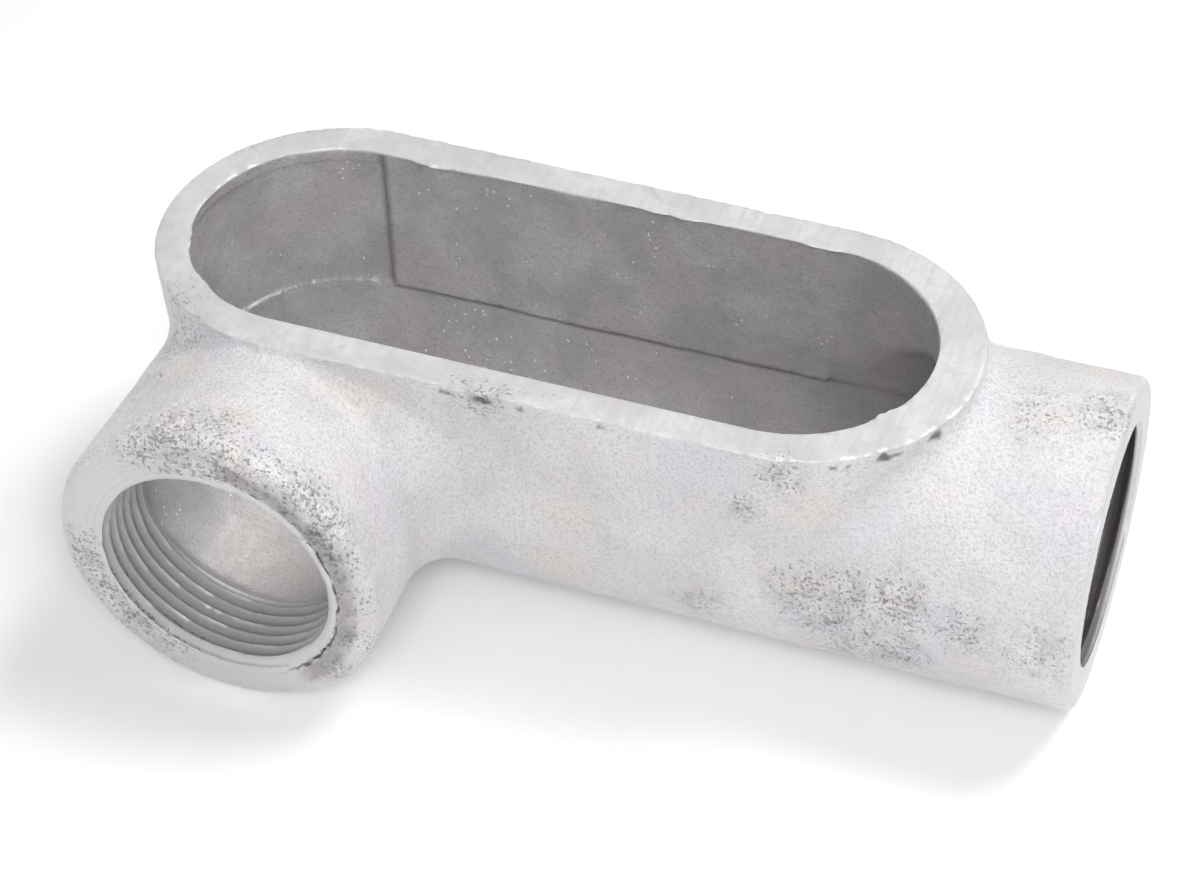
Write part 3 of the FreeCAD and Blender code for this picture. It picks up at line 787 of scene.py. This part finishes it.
def cast_aluminium(origin):
    """Sand-cast skin, painted darker in the hollow as shade; ground or turned metal where a tool cut it, its
    threads painted darker as shade; wear and dirt, and painted shade in the straight hub's bore and on the
    side hub's left side.
    """
    g = Graph("cast_aluminium")
    cut, inside, dirt_and_shade, worn_and_shaded, turned = (g.mark(name) for name in ("cut", "inside", "dirt_and_shade", "worn_and_shaded", "turned"))
    beyond, shows = g.mark("beyond"), g.mark("shows")
    past_spot = g.times(shows, g.ramp(beyond, -0.1, 0.2))
    cut = g.times(cut, g.math("SUBTRACT", 1.0, past_spot))
    warm = g.noise(13.0, 2.0, vector=g.moved(shift=(0.31, 0.17, 0.05)))
    grain = g.noise(0.50, 4.0, 0.72)
    streaks = g.noise(1.3, 3.0, 0.6, g.moved(scale=(2.4, 0.16, 1.0), turn=55.0))

    # In the hollow the skin is painted darker, as shade.
    skin = g.mix(inside, outer_skin(g, warm, grain), shaded_hollow_skin(g, warm, grain, origin))
    worked = g.mix(g.ramp(turned, 1.0, 2.0), ground_metal(g, streaks), turned_metal(g, turned, inside))
    color = g.mix(cut, skin, worked)

    # Smudges where worn, and painted shade on the side hub's left side.
    smudge_and_shade = g.times(worn_and_shaded, g.ramp(g.noise(3.0, 3.0, 0.6), 0.42, 0.62, 0.0, 0.5))
    color = g.mix(smudge_and_shade, color, SMUDGE_AND_SHADE)
    fine_pits = g.math("ADD", g.noise(0.62, 2.0, 0.6), g.times(worn_and_shaded, 0.13))
    fine_pits = g.times(g.ramp(fine_pits, 0.64, 0.73), g.ramp(worn_and_shaded, 0.12, 0.4))
    color = g.mix(g.times(fine_pits, 0.6), color, FINE_PITS)
    wavy = g.math("ADD", beyond, g.ramp(g.noise(2.2, 2.0), 0.3, 0.7, -0.25, 0.25))
    crack = g.times(g.line(wavy, 0.08, 0.38, 1.0), shows, g.ramp(g.noise(3.5, 2.0), 0.36, 0.46, 0.25, 0.95))
    color = g.mix(crack, color, CRACK)
    # Dirt, and the painted shade in the straight hub's bore.
    color = g.mix(g.ramp(dirt_and_shade, 0.15, 0.95, 0.0, 0.9), color, DIRT_AND_SHADE)
    g.give(g.bsdf.inputs["Base Color"], color)

    rough_skin = g.ramp(g.noise(1.4, 2.0), 0.35, 0.65, 0.50, 0.64)
    rough_cut = g.ramp(streaks, 0.35, 0.65, 0.46, 0.60)
    rough = g.node("ShaderNodeMix", data_type="FLOAT")
    for index, value in ((0, cut), (2, rough_skin), (3, rough_cut)):
        g.give(rough.inputs[index], value)
    g.give(g.bsdf.inputs["Roughness"], rough.outputs[0])

    uncut = g.math("SUBTRACT", 1.0, cut)
    sandy = g.times(uncut, g.ramp(inside, 0.0, 1.0, 1.0, 0.45))
    normal = g.bump(g.noise(1.3, 2.0), 0.22, g.times(sandy, 0.4))
    normal = g.bump(grain, 0.32, sandy, normal)
    normal = g.bump(streaks, 0.05, g.times(cut, 0.5), normal)
    normal = g.bump(g.math("SUBTRACT", 1.0, fine_pits), 0.30, 0.8, normal)
    g.give(g.bsdf.inputs["Normal"], normal)
    g.bsdf.inputs["Metallic"].default_value = 0.5
    return g.material


# ---------------------------------------------------------------- stage, light and camera

def seen_directly(tree):
    """One for the camera's own rays and for those mirrored or let through, nought for the rest."""
    path = tree.nodes.new("ShaderNodeLightPath")
    total = path.outputs["Is Camera Ray"]
    for name in ("Is Glossy Ray", "Is Transmission Ray"):
        plus = tree.nodes.new("ShaderNodeMath")
        plus.use_clamp = True
        tree.links.new(total, plus.inputs[0])
        tree.links.new(path.outputs[name], plus.inputs[1])
        total = plus.outputs[0]
    return total


def show(tree, plain, seen, output):
    """Puts one shader on an output for what is seen directly, and another for the light it gives off."""
    mix = tree.nodes.new("ShaderNodeMixShader")
    tree.links.new(seen_directly(tree), mix.inputs[0])
    tree.links.new(plain.outputs[0], mix.inputs[1])
    tree.links.new(seen.outputs[0], mix.inputs[2])
    tree.links.new(mix.outputs[0], tree.nodes[output].inputs["Surface"])


def make_floor(level):
    """Pale floor; what the camera and reflections see of it is white wherever it is fully lit."""
    bpy.ops.mesh.primitive_plane_add(size=FLOOR_SIZE, location=(0, 0, level))
    floor = bpy.context.object
    floor.name = "floor"
    material = bpy.data.materials.new("pale_floor")
    material.use_nodes = True
    tree = material.node_tree
    tree.nodes.remove(tree.nodes["Principled BSDF"])
    plain = tree.nodes.new("ShaderNodeBsdfDiffuse")
    plain.inputs["Color"].default_value = (*FLOOR, 1.0)
    seen = tree.nodes.new("ShaderNodeBsdfDiffuse")
    seen.inputs["Color"].default_value = (FLOOR_SEEN, FLOOR_SEEN, FLOOR_SEEN * 1.005, 1.0)
    show(tree, plain, seen, "Material Output")
    floor.data.materials.append(material)


def make_world():
    """Soft light from all round; what the camera and reflections see of it is white."""
    world = bpy.data.worlds.new("studio")
    bpy.context.scene.world = world
    world.use_nodes = True
    tree = world.node_tree
    light = tree.nodes["Background"]
    light.inputs["Color"].default_value = (*WHITE, 1.0)
    light.inputs["Strength"].default_value = WORLD_LEVEL
    seen = tree.nodes.new("ShaderNodeBackground")
    seen.inputs["Color"].default_value = (*WHITE, 1.0)
    show(tree, light, seen, "World Output")


def area_lamp(name, place, size, power):
    """Lamp aimed at the casting's middle."""
    lamp = bpy.data.lights.new(name, "AREA")
    lamp.shape = "RECTANGLE"
    lamp.size, lamp.size_y = size
    lamp.energy = power
    obj = bpy.data.objects.new(name, lamp)
    bpy.context.scene.collection.objects.link(obj)
    obj.location = place
    direction = np.array(LAMP_TARGET) - np.array(place)
    obj.rotation_euler = Vector(direction).to_track_quat("-Z", "Y").to_euler()


def make_camera():
    """Camera at the photo's angle."""
    data = bpy.data.cameras.new("camera")
    data.lens = CAMERA_LENS
    data.sensor_width = SENSOR_WIDTH
    data.sensor_fit = "HORIZONTAL"
    data.clip_start, data.clip_end = 0.05, 20.0
    camera = bpy.data.objects.new("camera", data)
    bpy.context.scene.collection.objects.link(camera)
    camera.location = CAMERA_PLACE
    camera.rotation_euler = [math.radians(a) for a in CAMERA_TURN]
    bpy.context.scene.camera = camera


# ---------------------------------------------------------------- putting it together

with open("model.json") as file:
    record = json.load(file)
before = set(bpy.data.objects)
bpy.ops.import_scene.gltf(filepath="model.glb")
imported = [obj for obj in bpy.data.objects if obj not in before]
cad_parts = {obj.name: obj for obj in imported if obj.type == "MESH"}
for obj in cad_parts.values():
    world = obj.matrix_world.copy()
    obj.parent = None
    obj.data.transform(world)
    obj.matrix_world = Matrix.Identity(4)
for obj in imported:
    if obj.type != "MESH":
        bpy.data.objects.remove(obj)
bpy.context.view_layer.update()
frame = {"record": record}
mounts = {m["name"]: m["pos_m"] for m in frame["record"]["mounts"]}
box_low, box_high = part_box(NODE)
origin = (mounts["side_hub"][0], mounts["straight_hub"][1], box_high.z)

piece = build_casting(origin, tuple(box_low), tuple(box_high))
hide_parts(NODE)
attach(piece, "root")
piece.data.materials.append(cast_aluminium(origin))

make_floor(box_low.z)
make_world()
area_lamp("key", KEY_PLACE, KEY_SIZE, KEY_POWER)
area_lamp("fill", FILL_PLACE, FILL_SIZE, FILL_POWER)
make_camera()
bpy.context.scene.view_settings.view_transform = "Standard"
